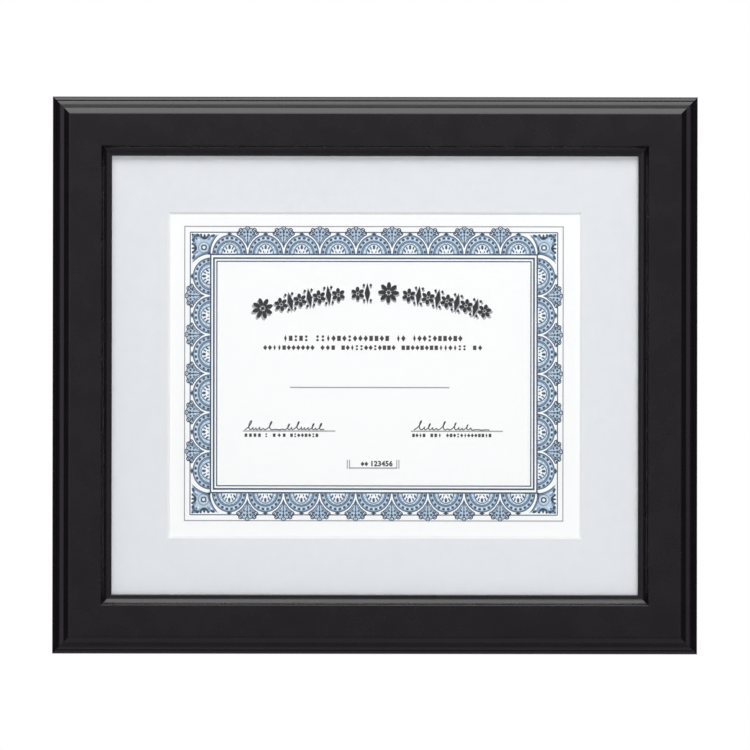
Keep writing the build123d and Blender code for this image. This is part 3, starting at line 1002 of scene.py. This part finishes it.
# %% Set the heading ornament
ARCH_RADIUS = 361.0
ARCH_MIDDLE, ARCH_FOOT = -2.3, 71.5
DOT_REACH, PETAL_REACH, PETAL_LONG, PETAL_WIDE = 0.16, 0.6, 0.4, 1.65
FLOWER_PITCH = 18.9
FLOWER_ROWS = ((-89.2, 4, 3), (-13.6, 1, 1), (36.3, 5, 4))
ROSETTE_PLACES = (-107.6, 16.5)
BLOOM_UP, ROSETTE_UP, TALL_UP = 8.8, 10.0, 9.4
SMALL_APART, SMALL_UPS = 3.3, (1.8, 17.0)
SHADOW_SHIFT, SHADOW_STRETCH = (0.0, -1.9), (1.012, 1.0)


def rosette(petals, reach):
    """Leaves round a middle dot."""
    leaves = [flat_shape(10, size=(reach * DOT_REACH, reach * DOT_REACH))]
    for place in range(petals):
        turn = 2 * math.pi * place / petals
        at = (-reach * PETAL_REACH * math.sin(turn), reach * PETAL_REACH * math.cos(turn))
        leaves.append(flat_shape(8, at, (reach * PETAL_WIDE / petals, reach * PETAL_LONG), turn))
    return joined("rosette", leaves)


def on_arch(shape, across, up):
    """A copy of a shape set on the arch, upright to it."""
    turn = across / ARCH_RADIUS
    reach = ARCH_RADIUS + up
    at = (ARCH_MIDDLE + reach * math.sin(turn), ARCH_FOOT - ARCH_RADIUS + reach * math.cos(turn))
    return placed(shape, at, -turn)


bloom = rosette(petals=6, reach=7.1)
large_bloom = rosette(petals=8, reach=10.8)
tall_lozenge = flat_shape(4, size=(2.8, 10.0))
small_lozenge = flat_shape(4, size=(1.5, 1.9))
heading = [on_arch(large_bloom, across, ROSETTE_UP) for across in ROSETTE_PLACES]
for start, blooms, gaps in FLOWER_ROWS:
    heading += [on_arch(bloom, start + place * FLOWER_PITCH, BLOOM_UP) for place in range(blooms)]
    for place in range(gaps):
        gap_middle = start + (place + 0.5) * FLOWER_PITCH
        heading.append(on_arch(tall_lozenge, gap_middle, TALL_UP))
        for side in (-1, 1):
            heading += [on_arch(small_lozenge, gap_middle + side * SMALL_APART, up) for up in SMALL_UPS]
discard(bloom, large_bloom, tall_lozenge, small_lozenge)
title = joined("heading", heading)
shadow = placed(title, SHADOW_SHIFT, size=SHADOW_STRETCH)
lay_on_paper("print_heading_shadow", [shadow], ink_shadow, 0.4)
lay_on_paper("print_heading", [title], ink_title)

# %% [markdown]
# ### The small rows
# Below the heading run two centred rows of small printer's marks in word-long groups: lozenges, blocks,
# slim lozenges and paired dots, drawn at random from a fixed seed. Shorter rows lie below the signatures.
# Each row has its height, the half height and half width of a mark, and its groups of (start, end, marks).

# %% Set the small rows
MARK_ROWS = (
    (35.3, 3.2, 2.2, ((-91.0, -65.0, 5), (-59.0, 16.0, 14), (22.0, 32.0, 2), (38.0, 89.0, 10))),
    (26.0, 2.7, 2.1, ((-111, -59, 11), (-54, -38, 3), (-33, 22, 12), (27, 93, 14), (98, 109, 2))),
    (-61.6, 2.1, 1.6, ((-130, -112, 4), (-110, -105, 1), (-102, -87, 3), (-84, -55, 8))),
    (-61.6, 2.1, 1.6, ((38, 52, 4), (56, 68, 3), (72, 118, 13))),
)
order = random.Random(5)
lozenge = flat_shape(4)
slim = leaf(0.0, 0.0, 0.6, 1.1, corners=4)
block = leaf(0.0, 0.0, 1.15, 1.15, 45, corners=4)
dots = joined("paired_dots", [leaf(0.0, up, 0.6, 0.42, corners=8) for up in (0.55, -0.55)])
marks = []
for height, half_tall, half_wide, groups in MARK_ROWS:
    for start, end, count in groups:
        for place in range(count):
            share = (place + 0.5) / count
            at = (start + (end - start) * share, height)
            mark = order.choice((lozenge, lozenge, block, block, slim, dots))
            marks.append(placed(mark, at, 0.0, (half_wide, half_tall)))
discard(lozenge, slim, block, dots)
lay_on_paper("print_wording", marks, ink_word)

# %% [markdown]
# ### The writing lines and the number box
# A plain rule waits for the name, and one for each signature. At the foot a little box, open at the top,
# holds a running number: two lozenges and plain figures. The figures are text with Blender's own font,
# swollen a little, because no drawn figure would be as clean.

# %% Rule the writing lines
WRITING_LINES = ((-83.9, 75.6, -13.8), (-130.9, -38.4, -57.4), (37.1, 129.1, -57.4))

lines = [stroke([(start, height), (end, height)], 1.25) for start, end, height in WRITING_LINES]
lay_on_paper("print_writing_lines", lines, ink_grey)

# %% Draw the number box and set its figures
BOX_SILL = ((-24.6, -94.3), (23.4, -94.3))
BOX_POSTS = (-26.4, -24.3, 23.1, 25.2)
POST_TOP, POST_FOOT = -86.1, -95.0
NUMBER_MARKS = ((-11.2, -90.2), (-7.4, -90.2))
FIGURES_AT = (7.7, -92.3, 0.0)

box_lines = [stroke(BOX_SILL, 1.3)]
box_lines += [stroke([(across, POST_TOP), (across, POST_FOOT)], 1.0) for across in BOX_POSTS]
lay_on_paper("print_number_box", box_lines, ink_grey)
before_number = [flat_shape(4, at, (1.9, 2.4)) for at in NUMBER_MARKS]
lay_on_paper("print_number_marks", before_number, ink_word)
clear()
bpy.ops.object.text_add()
figures = bpy.context.active_object
figures.data.body = "123456"
figures.data.align_x = "CENTER"
figures.data.size = 7.2
figures.data.offset = 0.3
figures.data.space_character = 1.05
figures.data.resolution_u = 3
bpy.ops.object.convert(target="MESH")
figures = bpy.context.active_object
figures.location = FIGURES_AT
bpy.ops.object.transform_apply(location=True)
edit(figures)
bpy.ops.mesh.remove_doubles(threshold=0.001)
clear()
lay_on_paper("print_number", [figures], ink_word)

# %% [markdown]
# ### The signatures
# A signature is a pen line of tall leaning loops and low waves. Ours is a flourish that spells nothing:
# each beat is one loop of a given width and height, and a smooth curve runs through them all. It gets a
# round pen, becomes a mesh and is pressed flat.

# %% Sign with two flourishes
LEAN, CURL = 0.42, 0.22
PEN = 0.52
BEAT_STEPS = 7
SIGNATURE_FOOT = -56.2
LEFT_BEATS = (
    ((6.5, 9.6), (4.0, 2.6), (3.6, 2.0), (4.2, 2.8), (5.5, 1.4), (7.0, 8.8))
    + ((10.0, 0.5), (6.0, 0.8), (4.6, 6.2), (4.2, 2.6), (7.2, 8.6), (4.0, 3.0))
    + ((3.8, 2.2), (4.4, 2.4), (4.8, 6.6), (4.0, 1.8), (4.8, 7.0), (4.6, 0.6))
)
RIGHT_BEATS = (
    ((7.5, 9.8), (4.2, 3.2), (4.6, 6.8), (3.8, 2.4), (4.6, 1.6), (7.0, 9.0), (5.0, 1.2))
    + ((6.2, 7.6), (3.8, 2.6), (3.6, 1.8), (4.8, 5.6), (4.2, 2.2), (9.5, 0.5), (9.5, 0.3))
)


def flourish(name, start, end, beats):
    """A looping pen line between two places, one loop for each beat of (width, height)."""
    stretch = (end - start) / sum(wide for wide, tall in beats)
    points = []
    for wide, tall in beats:
        for step in range(BEAT_STEPS):
            turn = step / BEAT_STEPS * 2 * math.pi
            rise = tall * (1 - math.cos(turn)) / 2
            across = wide * stretch * step / BEAT_STEPS + CURL * tall * math.sin(turn) + LEAN * rise
            points.append((start + across, SIGNATURE_FOOT + rise))
        start += wide * stretch
    clear()
    bpy.ops.curve.primitive_nurbs_path_add()
    pen = bpy.context.active_object
    line = pen.data.splines[0]
    line.points.add(len(points) - len(line.points))
    for place, (x, y) in zip(line.points, points):
        place.co = (x, y, 0.0, 1.0)
    line.order_u = 3
    line.use_endpoint_u = True
    line.resolution_u = 3
    pen.data.bevel_depth = PEN
    pen.data.bevel_resolution = 0
    pen.data.use_fill_caps = True
    bpy.ops.object.convert(target="MESH")
    pen = bpy.context.active_object
    pen.name = name
    pen.data.transform(Matrix.Diagonal((1.0, 1.0, FILM, 1.0)))
    pen.data.transform(Matrix.Translation((0.0, 0.0, FILM * 0.5)))
    edit(pen)
    bpy.ops.mesh.normals_make_consistent(inside=False)
    clear()
    onto_sheet(pen, ink_word)


flourish("print_signature_left", start=-129.0, end=-49.0, beats=LEFT_BEATS)
flourish("print_signature_right", start=40.0, end=117.0, beats=RIGHT_BEATS)

# %% [markdown]
# ## Behind the sheet
# Two hinges of gummed paper hang the sheet from the mat, a card fills the depth, and a hardboard back
# closes the frame. Hardboard is pressed wood fibre: brown, speckled, with a faintly shiny face.

# %% Tape, card and hardboard
tape = wandering_finish(
    "gummed tape", (0.74, 0.72, 0.64), (0.80, 0.78, 0.70), gloss=(0.6, 0.8), scale=1500, height=0.00001
)
dress("paper_hinge_left", tape)
dress("paper_hinge_right", tape)
card = wandering_finish(
    "filler card", (0.60, 0.57, 0.50), (0.70, 0.67, 0.60), gloss=(0.8, 0.95), scale=900, height=0.00003
)
dress("filler_board", card)


def hardboard():
    """Brown fibre in soft clouds, dark specks, short pale fibres and a burnished face."""
    material, tree, shader = plain_material("hardboard")
    cloud = two_tones(tree, grain(tree, scale=35), (0.21, 0.125, 0.070), (0.29, 0.180, 0.105))
    fibre = grain(tree, scale=700, stretch=(1.0, 1.0, 0.35), detail=5.0)
    pale = two_tones(tree, grain(tree, scale=90), (0.34, 0.215, 0.125), (0.38, 0.245, 0.150))
    streaked = blended(tree, between(tree, fibre, 0.56, 0.68, 0.0, 0.65), cloud, pale)
    dark = two_tones(tree, grain(tree, scale=300), (0.07, 0.038, 0.022), (0.10, 0.060, 0.035))
    specks = between(tree, grain(tree, scale=1100), 0.64, 0.72, 0.0, 0.8)
    tree.links.new(blended(tree, specks, streaked, dark), shader.inputs["Base Color"])
    tree.links.new(between(tree, fibre, NOISE_LOW, NOISE_HIGH, 0.42, 0.60), shader.inputs["Roughness"])
    raise_grain(tree, shader, fibre, 0.00003)
    return material


dress("backing_board", hardboard())

# %% [markdown]
# ## The metal
# Turn buttons and hangers are pressed from zinc-plated steel. The plate is bright with a bluish tinge,
# slightly cloudy, and shows the fine marks of rolling. The screws' plate is yellowish, and nails are
# plain wire. A piece that is wider than tall was rolled lengthwise, so there are two kinds of plate.

# %% Zinc plate and wire
def plate(name, first, last, gloss, height, scale=1600, rolled=(1.0, 1.0, 1.0)):
    """A metal finish. Rolled is the stretch of its grain, small along the way it was rolled."""
    return wandering_finish(name, first, last, gloss, scale, height, stretch=rolled, metal=1.0)


def zinc_plate(name, rolled):
    """Bright zinc plate with the marks of rolling along one axis."""
    return plate(name, (0.56, 0.58, 0.60), (0.68, 0.69, 0.70), (0.26, 0.42), 0.000006, 1800, rolled)


zinc = zinc_plate("zinc plate", (1.0, 1.0, 0.06))
zinc_across = zinc_plate("zinc plate across", (0.06, 1.0, 1.0))
screw_plate = plate("yellow zinc plate", (0.62, 0.54, 0.36), (0.70, 0.63, 0.46), (0.24, 0.38), 0.000005)
wire = plate("nail wire", (0.42, 0.42, 0.43), (0.54, 0.54, 0.55), (0.30, 0.45), 0.000005, scale=1500)
buttons = [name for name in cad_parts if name.startswith("turn_button_") and not name.endswith("screws")]
for name in buttons:
    place = name.removeprefix("turn_button_")
    button = welded(name, f"pressed_button_{place}", body=f"button_{place}")
    button.data.materials.append(zinc if place.startswith(("top", "bottom")) else zinc_across)
screws = welded("turn_button_screws", "pan_head_screws")
screws.data.materials.append(screw_plate)
for place, finish in (("top", zinc_across), ("left", zinc)):
    hanger = welded(f"sawtooth_hanger_{place}", f"toothed_hanger_{place}", smooth=25)
    hanger.data.materials.append(finish)
nails = welded("hanger_nails", "hanger_wire_nails")
nails.data.materials.append(wire)
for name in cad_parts:
    if name.startswith("v_nails"):
        dress(name, wire)
print("pressed buttons:", len(buttons))

# %% [markdown]
# ## The bumpers
# Four soft domes of clear-grey polyurethane keep the frame off the wall. They are cast, so they are very
# smooth and a little cloudy inside.

# %% Soft wall bumpers
GUM_GLOW, GUM_DEPTH = 0.25, 0.002

bumper_gum = wandering_finish(
    "clear grey gum", (0.50, 0.50, 0.48), (0.58, 0.58, 0.56), gloss=(0.16, 0.24), scale=500, height=0.000004
)
gum = bumper_gum.node_tree.nodes["Principled BSDF"]
gum.inputs["Subsurface Weight"].default_value = GUM_GLOW
gum.inputs["Subsurface Radius"].default_value = (GUM_DEPTH, GUM_DEPTH, GUM_DEPTH)
gum.inputs["Subsurface Scale"].default_value = 1.0
for place in ("top_left", "top_right", "bottom_left", "bottom_right"):
    bumper = welded(f"wall_bumper_{place}", f"soft_bumper_{place}")
    bumper.data.materials.append(bumper_gum)
print("four bumpers")
